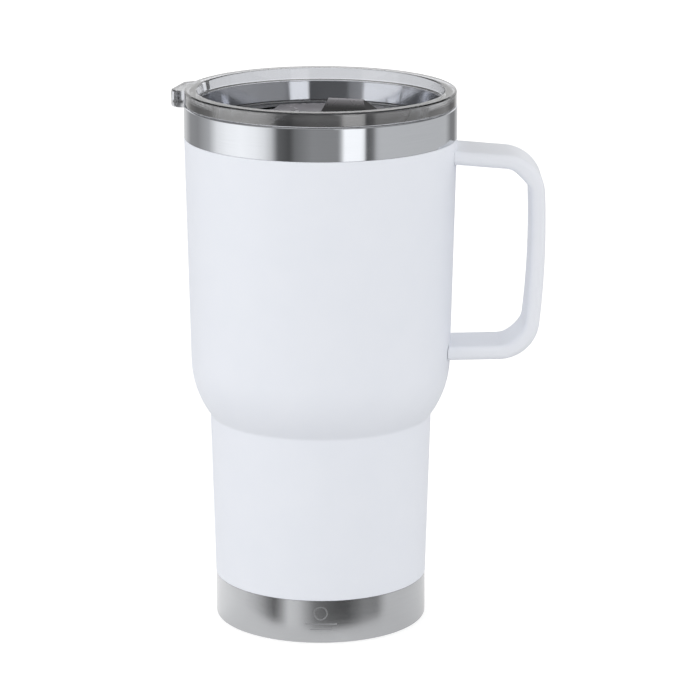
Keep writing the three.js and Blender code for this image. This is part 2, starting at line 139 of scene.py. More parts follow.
def wall_line(inset, bottom, top):
    """The coated wall moved inwards: lower wall, hollow fillet, round shoulder, upper wall."""
    upper, lower = math.atan(UPPER_TAPER), math.atan(LOWER_TAPER)
    centre_x = upper_radius(SHOULDER_TOP) - SHOULDER_R * math.cos(upper)
    centre_z = SHOULDER_TOP + SHOULDER_R * math.sin(upper)
    offset = NECK_FILLET / math.cos(lower)
    neck_z = SHOULDER_TOP - SHOULDER_R / 2
    for _ in range(20):
        across = lower_radius(neck_z) + offset - centre_x
        neck_z = centre_z - math.sqrt((SHOULDER_R + NECK_FILLET) ** 2 - across**2)
    neck_x = lower_radius(neck_z) + offset
    meet = math.degrees(math.atan2(neck_z - centre_z, neck_x - centre_x))
    fillet = arc(neck_x, neck_z, NECK_FILLET + inset, 180 - math.degrees(lower), 180 + meet, 6)
    shoulder = arc(centre_x, centre_z, SHOULDER_R - inset, meet, -math.degrees(upper), 28)
    foot = (lower_radius(bottom) - inset, bottom)
    head = (upper_radius(top) - inset, top)
    return [foot, *fillet, *shoulder[1:], head]


# ---- meshes --------------------------------------------------------------------------------------


def lathe(outline, facets=ROUND):
    """A solid turned about Z from an anticlockwise outline, whose ends may lie on the axis."""
    bm = bmesh.new()
    rings = []
    for r, z in outline:
        if r == 0:
            rings.append([bm.verts.new((0, 0, z * MM))] * facets)
            continue
        angles = [2 * math.pi * k / facets for k in range(facets)]
        rings.append(
            [bm.verts.new((r * MM * math.cos(a), r * MM * math.sin(a), z * MM)) for a in angles]
        )
    pairs = list(zip(rings, rings[1:]))
    if outline[0][0] > 0:
        pairs.append((rings[-1], rings[0]))
    for low, high in pairs:
        for k in range(facets):
            n = (k + 1) % facets
            loop = [low[k], low[n], high[n], high[k]]
            unique = list(dict.fromkeys(loop))
            if len(unique) > 2:
                bm.faces.new(unique)
    return finished(bm)


def slab(outline, bottom, top, edge=0.0):
    """A flat outline raised from one height to another, with its upper and lower edges rounded."""
    bm = bmesh.new()
    low = [bm.verts.new((x * MM, y * MM, bottom * MM)) for x, y in outline]
    high = [bm.verts.new((x * MM, y * MM, top * MM)) for x, y in outline]
    bm.faces.new(reversed(low))
    bm.faces.new(high)
    for k in range(len(low)):
        n = (k + 1) % len(low)
        bm.faces.new((low[k], low[n], high[n], high[k]))
    if edge:
        rims = [e for e in bm.edges if e.verts[0].co.z == e.verts[1].co.z]
        bmesh.ops.bevel(bm, geom=rims, offset=edge * MM, segments=4, profile=0.5, affect="EDGES")
    return finished(bm)


def hull(points, edge):
    """The convex solid round some points, with all its edges rounded."""
    bm = bmesh.new()
    for p in points:
        bm.verts.new(Vector(p) * MM)
    bmesh.ops.convex_hull(bm, input=bm.verts)
    bmesh.ops.dissolve_limit(bm, angle_limit=0.01, verts=bm.verts, edges=bm.edges)
    bmesh.ops.bevel(bm, geom=bm.edges, offset=edge * MM, segments=4, profile=0.5, affect="EDGES")
    return finished(bm)


def finished(bm):
    """The bmesh as a mesh, doubles merged and faces turned out."""
    bmesh.ops.remove_doubles(bm, verts=bm.verts, dist=1e-7)
    bmesh.ops.recalc_face_normals(bm, faces=bm.faces)
    mesh = bpy.data.meshes.new("work")
    bm.to_mesh(mesh)
    bm.free()
    return mesh


def combined(mesh, other, operation):
    """A boolean of two meshes, UNION or DIFFERENCE."""
    objects = [bpy.data.objects.new("work", m) for m in (mesh, other)]
    for o in objects:
        bpy.context.scene.collection.objects.link(o)
    step = objects[0].modifiers.new("step", "BOOLEAN")
    step.operation = operation
    step.solver = "EXACT"
    step.object = objects[1]
    shown = objects[0].evaluated_get(bpy.context.evaluated_depsgraph_get())
    result = bpy.data.meshes.new_from_object(shown)
    for o in objects:
        bpy.data.objects.remove(o)
    return result


def turned(mesh, matrix):
    mesh.transform(matrix)
    return mesh


def make(name, mesh, material, body, nodes, crease=35):
    """A finished piece: smooth faces with creases at sharp corners, riding on its CAD body."""
    mesh.name = name
    mesh.polygons.foreach_set("use_smooth", [True] * len(mesh.polygons))
    mesh.set_sharp_from_angle(angle=math.radians(crease))
    mesh.materials.clear()
    mesh.materials.append(material)
    obj = bpy.data.objects.new(name, mesh)
    bpy.context.scene.collection.objects.link(obj)
    flat = obj.modifiers.new("flat faces", "WEIGHTED_NORMAL")
    flat.keep_sharp = True
    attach(obj, body)
    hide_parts(*nodes)
    return obj


# ---- materials -----------------------------------------------------------------------------------


def new_material(name, colour, roughness, **sockets):
    mat = bpy.data.materials.new(name)
    mat.use_nodes = True
    shader = mat.node_tree.nodes["Principled BSDF"]
    shader.inputs["Base Color"].default_value = (*colour, 1)
    shader.inputs["Roughness"].default_value = roughness
    for socket, value in sockets.items():
        shader.inputs[socket.replace("_", " ")].default_value = value
    return mat


def noise(mat, size, stretch=(1, 1, 1), detail=3.0):
    """Noise over the object's own space: grains of a size in mm, lengthened along x, y and z."""
    nodes, links = mat.node_tree.nodes, mat.node_tree.links
    coords = nodes.new("ShaderNodeTexCoord")
    scale = nodes.new("ShaderNodeMapping")
    scale.inputs["Scale"].default_value = [1 / (size * MM * s) for s in stretch]
    grain = nodes.new("ShaderNodeTexNoise")
    grain.inputs["Scale"].default_value = 1
    grain.inputs["Detail"].default_value = detail
    links.new(coords.outputs["Object"], scale.inputs["Vector"])
    links.new(scale.outputs["Vector"], grain.inputs["Vector"])
    return grain.outputs["Fac"]


def ramp(mat, factor, stops):
    """A factor turned into colours; stops are (position, grey value or colour)."""
    nodes, links = mat.node_tree.nodes, mat.node_tree.links
    band = nodes.new("ShaderNodeValToRGB")
    elements = band.color_ramp.elements
    while len(elements) < len(stops):
        elements.new(0.5)
    for element, (position, value) in zip(elements, stops):
        element.position = position
        colour = value if isinstance(value, tuple) else (value,) * 3
        element.color = (*colour, 1)
    links.new(factor, band.inputs["Fac"])
    return band.outputs["Color"]


def feed(mat, socket, output):
    shader = mat.node_tree.nodes["Principled BSDF"]
    mat.node_tree.links.new(output, shader.inputs[socket])


def bump(mat, layers):
    """Surface relief from several (height, depth in mm) layers."""
    nodes, links = mat.node_tree.nodes, mat.node_tree.links
    normal = None
    for height, depth in layers:
        relief = nodes.new("ShaderNodeBump")
        relief.inputs["Strength"].default_value = 1
        relief.inputs["Distance"].default_value = depth * MM
        links.new(height, relief.inputs["Height"])
        if normal:
            links.new(normal, relief.inputs["Normal"])
        normal = relief.outputs["Normal"]
    feed(mat, "Normal", normal)


def maths(tree, operation, *values):
    """One step of arithmetic on numbers or other nodes' outputs."""
    step = tree.nodes.new("ShaderNodeMath")
    step.operation = operation
    for socket, value in zip(step.inputs, values):
        if isinstance(value, bpy.types.NodeSocket):
            tree.links.new(value, socket)
        else:
            socket.default_value = value
    return step.outputs[0]


def direction_parts(tree, direction):
    parts = tree.nodes.new("ShaderNodeSeparateXYZ")
    tree.links.new(direction, parts.inputs["Vector"])
    return parts.outputs


def powder_coating():
    mat = new_material("powder_coating", (0.86, 0.885, 0.945), 0.5, Specular_IOR_Level=0.4)
    feed(mat, "Base Color", ramp(mat, noise(mat, 14), [
        (0.3, (0.853, 0.88, 0.94)), (0.7, (0.868, 0.892, 0.95)),
    ]))
    feed(mat, "Roughness", ramp(mat, noise(mat, 0.8), [(0.3, 0.44), (0.7, 0.56)]))
    bump(mat, [(noise(mat, 1.1, detail=2), 0.012), (noise(mat, 0.25), 0.003)])
    return mat


def moulded_plastic():
    mat = new_material("moulded_plastic", (0.86, 0.88, 0.93), 0.42, Specular_IOR_Level=0.45)
    feed(mat, "Base Color", ramp(mat, noise(mat, 20), [
        (0.3, (0.852, 0.874, 0.925)), (0.7, (0.867, 0.886, 0.935)),
    ]))
    feed(mat, "Roughness", ramp(mat, noise(mat, 1.5), [(0.3, 0.38), (0.7, 0.48)]))
    bump(mat, [(noise(mat, 0.35), 0.003)])
    return mat


def polished_steel():
    """Bright steel with faint marks round it from polishing."""
    mat = new_material("polished_steel", (0.71, 0.73, 0.765), 0.07, Metallic=1.0)
    lines = noise(mat, 0.12, stretch=(120, 120, 1))
    smears = noise(mat, 9, stretch=(1.6, 1.6, 1))
    feed(mat, "Roughness", ramp(mat, smears, [(0.3, 0.05), (0.7, 0.09)]))
    feed(mat, "Base Color", ramp(mat, lines, [
        (0.3, (0.695, 0.715, 0.75)), (0.7, (0.725, 0.745, 0.78)),
    ]))
    bump(mat, [(lines, 0.0006), (smears, 0.002)])
    return mat


def etched_mark(tree, place):
    """1 on a plain mark on the front of the foot, a ring over two strokes, and 0 elsewhere."""
    x, y, z = direction_parts(tree, place)
    up = maths(tree, "SUBTRACT", z, MARK_RING_Z * MM)
    out = maths(tree, "SQRT", maths(tree, "MULTIPLY_ADD", x, x, maths(tree, "MULTIPLY", up, up)))
    off_line = maths(tree, "ABSOLUTE", maths(tree, "SUBTRACT", out, MARK_RING_R * MM))
    mark = maths(tree, "LESS_THAN", off_line, MARK_LINE / 2 * MM)
    for height, half_length in MARK_STROKES:
        off_line = maths(tree, "ABSOLUTE", maths(tree, "SUBTRACT", z, height * MM))
        level = maths(tree, "LESS_THAN", off_line, MARK_LINE / 2 * MM)
        within = maths(tree, "LESS_THAN", maths(tree, "ABSOLUTE", x), half_length * MM)
        mark = maths(tree, "MAXIMUM", mark, maths(tree, "MULTIPLY", level, within))
    return maths(tree, "MULTIPLY", mark, maths(tree, "LESS_THAN", y, 0.0))


def brushed_steel():
    """Satin steel brushed round the foot, with the etched mark."""
    mat = new_material(
        "brushed_steel", (0.68, 0.69, 0.71), 0.17,
        Metallic=1.0, Anisotropic=0.8, Anisotropic_Rotation=0.25,
    )
    lines = noise(mat, 0.1, stretch=(160, 160, 1))
    round_axis = mat.node_tree.nodes.new("ShaderNodeTangent")
    round_axis.direction_type = "RADIAL"
    round_axis.axis = "Z"
    feed(mat, "Tangent", round_axis.outputs["Tangent"])
    tree = mat.node_tree
    mark = etched_mark(tree, tree.nodes.new("ShaderNodeTexCoord").outputs["Object"])
    satin = ramp(mat, lines, [(0.3, 0.15), (0.7, 0.19)])
    feed(mat, "Roughness", maths(tree, "MULTIPLY_ADD", mark, 0.3, satin))
    feed(mat, "Base Color", ramp(mat, lines, [
        (0.3, (0.66, 0.67, 0.69)), (0.7, (0.7, 0.71, 0.73)),
    ]))
    bump(mat, [(lines, 0.0004)])
    return mat


def liner_steel(name, rough, metallic):
    mat = new_material(name, (0.68, 0.69, 0.71), rough, Metallic=metallic)
    lines = noise(mat, 0.2, stretch=(80, 80, 1))
    feed(mat, "Roughness", ramp(mat, noise(mat, 12), [(0.3, 0.75 * rough), (0.7, 1.25 * rough)]))
    feed(mat, "Base Color", ramp(mat, lines, [
        (0.3, (0.66, 0.67, 0.69)), (0.7, (0.7, 0.71, 0.73)),
    ]))
    bump(mat, [(lines, 0.0004)])
    return mat


def clear_plastic(name, rough, clearness, **sockets):
    tint = Vector((0.98, 0.99, 1.02)) * clearness
    mat = new_material(
        name, tint, rough, IOR=1.58, Transmission_Weight=1.0, Specular_IOR_Level=0.9, **sockets,
    )
    flow = noise(mat, 11)
    feed(mat, "Roughness", ramp(mat, flow, [(0.3, 0.6 * rough), (0.7, 1.4 * rough)]))
    feed(mat, "Base Color", ramp(mat, flow, [
        (0.3, tuple(tint * 0.985)), (0.7, tuple(tint * 1.01)),
    ]))
    bump(mat, [(flow, 0.01)])
    return mat


def smoke_plastic(name, rough, axis, span, shades):
    """Smoke-grey plastic whose shades are spread along an axis, over a span in millimetres."""
    mat = new_material(
        name, (0.12, 0.117, 0.122), rough,
        IOR=1.58, Transmission_Weight=0.3, Specular_IOR_Level=0.6,
    )
    tree = mat.node_tree
    place = tree.nodes.new("ShaderNodeTexCoord").outputs["Object"]
    start, length = span[0], span[1] - span[0]
    along = maths(tree, "MULTIPLY_ADD", direction_parts(tree, place)[axis], 1 / (length * MM),
                  -start / length)
    flow = noise(mat, 8)
    feed(mat, "Roughness", ramp(mat, flow, [(0.3, 0.7 * rough), (0.7, 1.3 * rough)]))
    # The gradient along the axis is painted shade on the push face and the disc's top; the noise
    # adds random mottling.
    mottled_gradient = maths(tree, "MULTIPLY_ADD", flow, 0.06, along)
    feed(mat, "Base Color", ramp(mat, mottled_gradient, [
        (at, (shade, 0.97 * shade, 1.03 * shade)) for at, shade in shades
    ]))
    bump(mat, [(flow, 0.006), (noise(mat, 0.3), 0.001)])
    return mat


def silicone():
    mat = new_material(
        "silicone", (0.8, 0.81, 0.82), 0.4,
        IOR=1.41, Transmission_Weight=0.7, Specular_IOR_Level=0.4,
    )
    feed(mat, "Roughness", ramp(mat, noise(mat, 1.2), [(0.3, 0.34), (0.7, 0.5)]))
    feed(mat, "Base Color", ramp(mat, noise(mat, 6), [
        (0.3, (0.78, 0.79, 0.8)), (0.7, (0.83, 0.84, 0.85)),
    ]))
    bump(mat, [(noise(mat, 0.5), 0.004)])
    return mat


def dull_alloy():
    mat = new_material("dull_alloy", (0.45, 0.45, 0.46), 0.55, Metallic=0.9)
    feed(mat, "Roughness", ramp(mat, noise(mat, 0.7), [(0.3, 0.45), (0.7, 0.65)]))
    feed(mat, "Base Color", ramp(mat, noise(mat, 1.8), [(0.3, 0.38), (0.7, 0.5)]))
    bump(mat, [(noise(mat, 0.4), 0.01)])
    return mat


# ---- cup -----------------------------------------------------------------------------------------


def shell_bands(polished, brushed):
    """The outer wall with its two bare bands: polished at the rim, brushed at the foot."""
    under = COAT + COAT_GAP
    foot = rounded([
        (34.4, 3, 0.2), (34.4, 0, 0.5), (BASE_R, 0, 0.6), (BASE_R, COAT_BOTTOM - 0.1, 0),
    ])[2:]
    rim = [(BAND_R, COAT_TOP + 0.1), *arc(BAND_R - 0.45, RIM_Z - 0.45, 0.45, 0, 90, 6)]
    outside = [*foot, *wall_line(under, COAT_BOTTOM - 0.1, COAT_TOP + 0.1), *rim]
    inside = [
        (BAND_R - SHEET, RIM_Z),
        *reversed(wall_line(under + SHEET, COAT_BOTTOM, COAT_TOP)),
        (BASE_R - under - SHEET, 1.4),
        (BASE_R - 1.5, SHEET),
        (34.9, SHEET),
        (34.9, 3),
    ]
    mesh = lathe([*outside, *inside])
    obj = make("steel_shell", mesh, polished, "cup", ["outer_shell"])
    mesh.materials.append(brushed)
    for face in mesh.polygons:
        face.material_index = int(face.center.z < COAT_BOTTOM * MM)
    return obj


def coat_sleeve(material):
    edge = 0.12
    outer = wall_line(0, COAT_BOTTOM, COAT_TOP)
    inner = wall_line(COAT, COAT_BOTTOM, COAT_TOP)
    low, high = outer[0], outer[-1]
    outline = [
        *arc(low[0] - edge, low[1] + edge, edge, -90, 0, 3),
        *outer[1:-1],
        *arc(high[0] - edge, high[1] - edge, edge, 0, 90, 3),
        *reversed(inner),
    ]
    return make("coating", lathe(outline), material, "cup", ["powder_coat"])


def liner_profile(inset, floor):
    """The liner's wall from the middle of its floor up to the neck of the mouth."""
    corner = 6.0 + LINER_IN - SHEET - inset
    side = lower_radius(floor + corner) - inset
    bend = arc(side - corner, floor + corner, corner, -90, -2, 8)
    return [(0, floor + 0.6), (side - corner - 8, floor + 0.3), *bend,
            *wall_line(inset, floor + corner + 1, RIM_Z - FLARE_DEPTH - 10)]


def liner(bright, satin):
    """The steel inner wall: satin inside, a straight mouth for the seal, a bright flare above."""
    lip = BAND_R - SHEET - 0.05
    flare_foot = RIM_Z - FLARE_DEPTH
    outer = liner_profile(LINER_IN - SHEET, LINER_FLOOR - SHEET)
    inner = liner_profile(LINER_IN, LINER_FLOOR)
    neck = rounded([
        (*outer[-1], 0), (MOUTH_R + SHEET, flare_foot - 6, 3), (MOUTH_R + SHEET, flare_foot, 3),
        (FLARE_R + 0.35, RIM_Z - 0.9, 0.2), (lip, RIM_Z - 0.9, 0), (lip, RIM_Z, 0),
        (FLARE_R + 0.1, RIM_Z, 0.5), (MOUTH_R, flare_foot, 3), (MOUTH_R, flare_foot - 6, 3),
        (*inner[-1], 0),
    ], closed=False)
    outline = [*outer[:-1], *neck, *reversed(inner[:-1])]
    mesh = lathe(outline)
    obj = make("cup_liner", mesh, bright, "cup", ["inner_liner"])
    mesh.materials.append(satin)
    for face in mesh.polygons:
        face.material_index = int(face.center.z < (flare_foot - 1) * MM)
    return obj


def cover_plate(material):
    """The plate inside the foot ring, pressed with a shallow groove round its flat middle."""
    outline = rounded([
        (0, 1.0, 0), (21, 1.0, 0.5), (21.8, 1.4, 0.4), (23.2, 1.4, 0.4), (24, 1.0, 0.5),
        (30, 1.0, 0.8), (32.4, 0.5, 0.6), (34.1, 0.5, 0.15), (34.1, 1.1, 0.15), (32.7, 1.1, 0.6),
        (30.3, 1.6, 0.8), (24.2, 1.6, 0.5), (23.4, 2.0, 0.4), (21.6, 2.0, 0.4), (20.8, 1.6, 0.5),
        (0, 1.6, 0),
    ], closed=False)
    return make("foot_plate", lathe(outline), material, "cup", ["base_cover"])


# ---- handle --------------------------------------------------------------------------------------


def arm(bend, slope, side):
    """An arm's own frame at the wall: +X out along it, +Z across it; side is 1 above, -1 below."""
    wall = upper_radius(bend[1] + side * BEND_R)
    rise = BEND_R / math.cos(slope) + (bend[0] - wall) * math.tan(slope)
    place = Matrix.Translation(Vector((wall, 0, bend[1] + side * rise)) * MM)
    return place @ Matrix.Rotation(side * slope, 4, "Y")


ARMS = {"upper": arm(TOP_BEND, TOP_SLOPE, 1), "lower": arm(LOW_BEND, LOW_SLOPE, -1)}


def stretch(centre, radius, start, end, steps, swell):
    """Part of the strap's centre line: x, z, outward angle in degrees, extra thickness inside."""
    points = []
    for i in range(steps + 1):
        angle = start + (end - start) * i / steps
        x, z = arc(*centre, radius, angle, angle, 1)[0]
        points.append((x, z, angle, swell * math.sin(math.pi * i / steps) ** 2))
    return points


def strap_line():
    """Two bends that both touch the large circle of the grip, and the arms' ends at the wall."""
    top, low = Vector(TOP_BEND), Vector(LOW_BEND)
    half = (top - low) / 2
    back = math.sqrt((GRIP_R - BEND_R) ** 2 - half.length_squared)
    centre = top - half + Vector((-half.y, half.x)).normalized() * back
    top_end, low_end = (math.degrees(math.atan2(*(p - centre).yx)) for p in (top, low))
    top_start, low_start = 90 - math.degrees(TOP_SLOPE), math.degrees(LOW_SLOPE) - 90
    upper_end, lower_end = (ARMS[name].translation / MM for name in ("upper", "lower"))
    return [
        (upper_end.x, upper_end.z, top_start, 0),
        *stretch(top, BEND_R, top_start, top_end, 18, TOP_SWELL),
        *stretch(centre, GRIP_R, top_end, low_end, 10, 0)[1:-1],
        *stretch(low, BEND_R, low_end, low_start, 18, LOW_SWELL),
        (lower_end.x, lower_end.z, low_start, 0),
    ]


def strap_mesh():
    """One rounded section carried along the centre line; both ends follow the round wall."""
    section = rectangle(0, 0, STRAP_THICK, STRAP_WIDTH, STRAP_EDGE)
    line = strap_line()
    ends = {0: (0.06, TOP_SLOPE), len(line) - 1: (0.22, -LOW_SLOPE)}
    bm = bmesh.new()
    rings = []
    for i, (x, z, angle, swell) in enumerate(line):
        a = math.radians(angle)
        ring = []
        for across, y in section:
            out = across - swell if across < 0 else across
            place = Vector((x + out * math.cos(a), y, z + out * math.sin(a)))
            if i in ends:
                gap, slope = ends[i]
                before = place.x
                place.x = math.sqrt((upper_radius(place.z) + gap) ** 2 - y**2)
                place.z += (before - place.x) * math.tan(slope)
            ring.append(bm.verts.new(place * MM))
        rings.append(ring)
    for low, high in zip(rings, rings[1:]):
        for k in range(len(section)):
            n = (k + 1) % len(section)
            bm.faces.new((low[k], low[n], high[n], high[k]))
    for ring in (rings[0], rings[-1]):
        middle = bm.verts.new(sum((v.co for v in ring), Vector()) / len(ring))
        middle.co.x = max(v.co.x for v in ring)
        for k in range(len(ring)):
            bm.faces.new((ring[k], ring[(k + 1) % len(ring)], middle))
    return finished(bm)


def handle_strap(material):
    """The strap with a countersunk hole under each arm."""
    mesh = strap_mesh()
    face = -STRAP_THICK / 2
    hole = [(0, face - 1), (3.2, face - 1), (3.2, face), (1.7, face + 1.3), (1.7, 1.5), (0, 1.5)]
    for frame_of_arm in ARMS.values():
        place = frame_of_arm @ Matrix.Translation((SCREW_AT * MM, 0, 0))
        mesh = combined(mesh, turned(lathe(hole, 48), place), "DIFFERENCE")
    return make("handle_strap", mesh, material, "cup", ["handle"])


def handle_screw(name, material):
    """A countersunk screw with a hexagonal socket."""
    head = -STRAP_THICK / 2 + 0.15
    outline = rounded([
        (0, head, 0), (2.6, head, 0.15), (2.6, head + 0.2, 0.05), (1.35, head + 1.3, 0.1),
        (1.35, 1.2, 0.2), (0, 1.2, 0),
    ], closed=False)
    socket = slab(arc(0, 0, 1.0, 0, 300, 5), head - 1, head + 0.9)
    mesh = combined(lathe(outline, 48), socket, "DIFFERENCE")
    place = ARMS[name] @ Matrix.Translation((SCREW_AT * MM, 0, 0))
    return make(f"screw_{name}", turned(mesh, place), material, "cup",
                [f"handle_screw_{name}"])


# ---- lid and closure, made in the lid's own frame ------------------------------------------------

LID = Matrix.Translation((0, 0, RIM_Z * MM)) @ Matrix.Rotation(LID_TURN, 4, "Z")


def plug_radius(z):
    """The plug's outside, which follows the flared mouth."""
    return FLARE_R - PLUG_GAP + z * (FLARE_R - MOUTH_R) / FLARE_DEPTH


def drum(radius, bottom, top, facets=ROUND):
    return lathe([(0, bottom), (radius, bottom), (radius, top), (0, top)], facets)


def lid_mesh():
    dish = lathe(rounded([
        (BOSS_R + 0.5, LID_UNDER, 0.3), (40.2, LID_UNDER, 0.8), (41.2, SKIRT_FOOT, 0.5),
        (45.9, SKIRT_FOOT, 0.5), (45.9, GROOVE_BOTTOM, 0.2), (GROOVE_R, GROOVE_BOTTOM, 0.3),
        (GROOVE_R, GROOVE_TOP, 0.3), (plug_radius(GROOVE_TOP), GROOVE_TOP, 0.3),
        (plug_radius(FLANGE_BOTTOM), FLANGE_BOTTOM, 0.4), (FLANGE_R, FLANGE_BOTTOM, 0.35),
        (FLANGE_R, LID_TOP, 0.7), (45.7, LID_TOP, 0.7), (42.85, LID_FLOOR, 0.5),
        (WELL_R, LID_FLOOR, 0.3), (WELL_R, WELL_FLOOR, 0.4), (BOSS_R + 0.5, WELL_FLOOR, 0.3),
    ]))
    tab = slab(rectangle(-50, 0, 9.8, 21, 2.6), -2.2, 4.1, 0.8)
    for room in (drum(BAND_R + 0.4, -4, FLANGE_BOTTOM + 0.3), drum(plug_radius(0) - 0.6, -3, 5.3)):
        tab = combined(tab, room, "DIFFERENCE")
    slot = slab(rectangle(SLOT_X, 0, SLOT_WIDE, SLOT_LONG, SLOT_WIDE / 2 - 0.01), -11, -7)
    vent = turned(drum(1.3, -11, -7, 32), Matrix.Translation(Vector((25.5, 15.5, 0)) * MM))
    mesh = combined(dish, tab, "UNION")
    for hole in (slot, vent):
        mesh = combined(mesh, hole, "DIFFERENCE")
    return turned(mesh, LID)


def lid(clear, tab, wall):
    """The lid, with a satin thumb tab and an outer wall that mirrors more, under a clear coat,
    tinted darker as painted shade.
    """
    mesh = lid_mesh()
    obj = make("lid_clear", mesh, clear, "lid", ["lid_body"], 30)
    for material in (tab, wall):
        mesh.materials.append(material)
    for face in mesh.polygons:
        past_wall = face.center.xy.length / MM - FLANGE_R
        if past_wall > 0.2:
            face.material_index = 1
        elif past_wall > -0.2 and abs(face.normal.z) < 0.3:
            face.material_index = 2
    return obj


def gasket_mesh():
    """The seal ring, with two soft lips."""
    inside, lip = GROOVE_R + 0.3, MOUTH_R - 0.25
    low, high = GROOVE_BOTTOM + 0.3, GROOVE_TOP - 0.3
    return turned(lathe(rounded([
        (inside, low, 0.2), (lip - 0.65, low, 0.2), (lip, low + 0.35, 0.25),
        (lip, low + 0.65, 0.25), (lip - 0.75, low + 1.3, 0.3), (lip - 0.75, high - 1.3, 0.3),
        (lip, high - 0.65, 0.25), (lip, high - 0.35, 0.25), (lip - 0.65, high, 0.2),
        (inside, high, 0.2),
    ])), LID)


def disc_outline():
    """The closure's plan: a disc with a straight cut, its two corners rounded."""
    end = math.degrees(math.acos(CHORD / DISC_R))
    body = arc(0, 0, DISC_R, -end + 1.2, end - 1.2, 120)
    corner_y = DISC_R * math.sin(math.radians(end))
    return [*body, (CHORD + 0.25, corner_y - 0.25), (CHORD, corner_y - 1.0),
            (CHORD, -corner_y + 1.0), (CHORD + 0.25, -corner_y + 0.25)]


def wedge_mesh():
    """The thumb wedge: a level ridge, a steep push face towards -Y and slopes elsewhere."""
    foot = DISC_TOP - 0.6
    return hull([
        (3, 0, WEDGE_RIDGE), (16.1, 0, WEDGE_RIDGE), (-0.8, -7.4, foot), (20, -7.4, foot),
        (30, 1.5, foot), (24, 8, foot), (2, 8, foot),
    ], 0.2)


def closure_mesh():
    disc = slab(disc_outline(), DISC_BOTTOM, DISC_TOP, 0.3)
    boss = drum(BOSS_R, LID_UNDER + 0.3, DISC_TOP - 0.5, 64)
    bore = drum(PIN_R + 0.1, LID_UNDER - 1, PIN_TOP + 0.2, 48)
    recess = slab(rectangle(SLOT_X - 0.3, 0, 10.4, 25.4, 5), DISC_BOTTOM - 1, DISC_BOTTOM + 0.8)
    mesh = combined(disc, boss, "UNION")
    for hole in (bore, recess):
        mesh = combined(mesh, hole, "DIFFERENCE")
    return turned(combined(mesh, wedge_mesh(), "UNION"), LID)


def closure(smoke, push_face_painted_shade, disc_top_painted_shade):
    """The closure in bright smoke plastic; its push face and disc top in satin, with painted shade.
    """
    mesh = closure_mesh()
    obj = make("closure", mesh, smoke, "closure", ["closure_disc"], 15)
    for material in (push_face_painted_shade, disc_top_painted_shade):
        mesh.materials.append(material)
    push = LID.to_3x3() @ Vector((0, -0.76, 0.65))
    for face in mesh.polygons:
        if face.normal.dot(push) > 0.9:
            face.material_index = 1
        elif face.center.z < (RIM_Z + DISC_TOP + 0.05) * MM and face.normal.z > 0.9:
            face.material_index = 2
    return obj


def pad_mesh():
    pad = rectangle(SLOT_X - 0.3, 0, 10, 25, 4.99)
    return turned(slab(pad, DISC_BOTTOM - 0.1, DISC_BOTTOM + 0.5, 0.15), LID)


PIN_HEAD_TOP = LID_UNDER - 1.4


def pin_mesh():
    head = PIN_HEAD_TOP - 1.0
    return turned(lathe(rounded([
        (0, head, 0), (6.5, head, 0.4), (6.5, PIN_HEAD_TOP, 0.2), (PIN_R, PIN_HEAD_TOP, 0.2),
        (PIN_R, PIN_TOP, 0.3), (0, PIN_TOP, 0),
    ], closed=False), 96), LID)


def o_ring_mesh():
    middle = (PIN_HEAD_TOP + LID_UNDER) / 2
    return turned(lathe(arc(5.5, middle, 0.4, 0, 360 * 15 / 16, 15), 96), LID)


# ---- stage, light and camera ---------------------------------------------------------------------

# What bright surfaces see round the mug, left to right as an observer at the camera turns about:
# (degrees from the camera, brightness). First the polished rim, which looks down, then the flared
# mouth behind the lid, which looks up: a wide soft box on the left and a narrow one on the right.
PANELS = [
    (-180, 0.7), (-158, 0.66), (-142, 0.34), (-126, 0.31), (-108, 0.5), (-97, 0.97), (-85, 1.15),
    (-70, 1.22), (-56, 1.12), (-48, 0.95), (-42, 0.68), (-36, 0.15), (-26, 0.09), (-21, 0.2),
    (-7, 0.31), (14, 0.3), (16.5, 0.5), (20, 1.3), (34, 1.28), (36.5, 1.05), (38.5, 0.12),
    (44, 0.2), (48, 0.55), (51, 0.61), (130, 0.58), (142, 0.26), (152, 0.25), (165, 0.65),
    (180, 0.7),
]
LID_PANELS = [
    (-180, 1.0), (-140, 1.0), (-130, 0.5), (-112, 0.42), (-82, 0.36), (-79, 1.0), (-42, 1.1),
    (-39, 0.36), (-28, 0.3), (-24, 0.14), (10, 0.12), (12, 1.16), (28, 1.16), (30, 0.2), (34, 0.34),
    (90, 0.4), (110, 0.5), (130, 0.5), (140, 1.0), (180, 1.0),
]
PANEL_TOP = 0.32  # sine of the height where the panels end
CEILING = [(0.6, 0.14), (0.85, 0.6)]  # dim above the panels, brighter overhead
# The same for the foot: the room beyond the table's edge, and the table round the mug.
SCREEN_TONES = [
    (-180, 1.0), (-150, 0.88), (-125, 0.8), (-90, 0.74), (-76, 0.58), (-66, 0.42), (-58, 0.24),
    (-50, 0.1), (-43, 0.32), (-34, 0.78), (-24, 0.7), (-14, 0.43), (-6, 0.21), (8, 0.13),
    (20, 0.06), (28, 0.06), (36, 0.15), (46, 0.26), (62, 0.25), (70, 0.52), (76, 0.64),
    (100, 0.64), (135, 0.67), (160, 0.8), (180, 1.0),
]
# The table's tones fall towards the front of the mug, lowest there partly as a painted shadow of
# the mug.
TABLE_TONES = [
    (-180, 0.95), (-110, 0.92), (-86, 0.86), (-72, 0.77), (-57, 0.72), (0, 0.66), (57, 0.62),
    (86, 0.68), (110, 0.74), (180, 0.95),
]
TABLE_R, TABLE_BACK = 0.078, 0.022  # a round table top, its middle a little behind the mug
SCREEN_R = 0.45
SCREEN_TOP, SCREEN_FOOT = -0.03, -1.2

# What matt surfaces see: a sky that is brightest low down, and a floor that glows a little.
SKY_LOW, SKY_FALL = 1.5, 0.95
FLOOR_ALBEDO, FLOOR_GLOW = 0.7, 0.02
FLOOR_LIFT = 0.55  # what the floor adds for the camera alone
BACKDROP = (0.95, 0.96, 0.98)  # seen straight through clear parts

CAMERA_PLACE, LOOK_DOWN = (0, -1.1975, 0.4139), 14.6  # metres, degrees
LENS, SENSOR, SHIFT = 170, 36, 0.0419


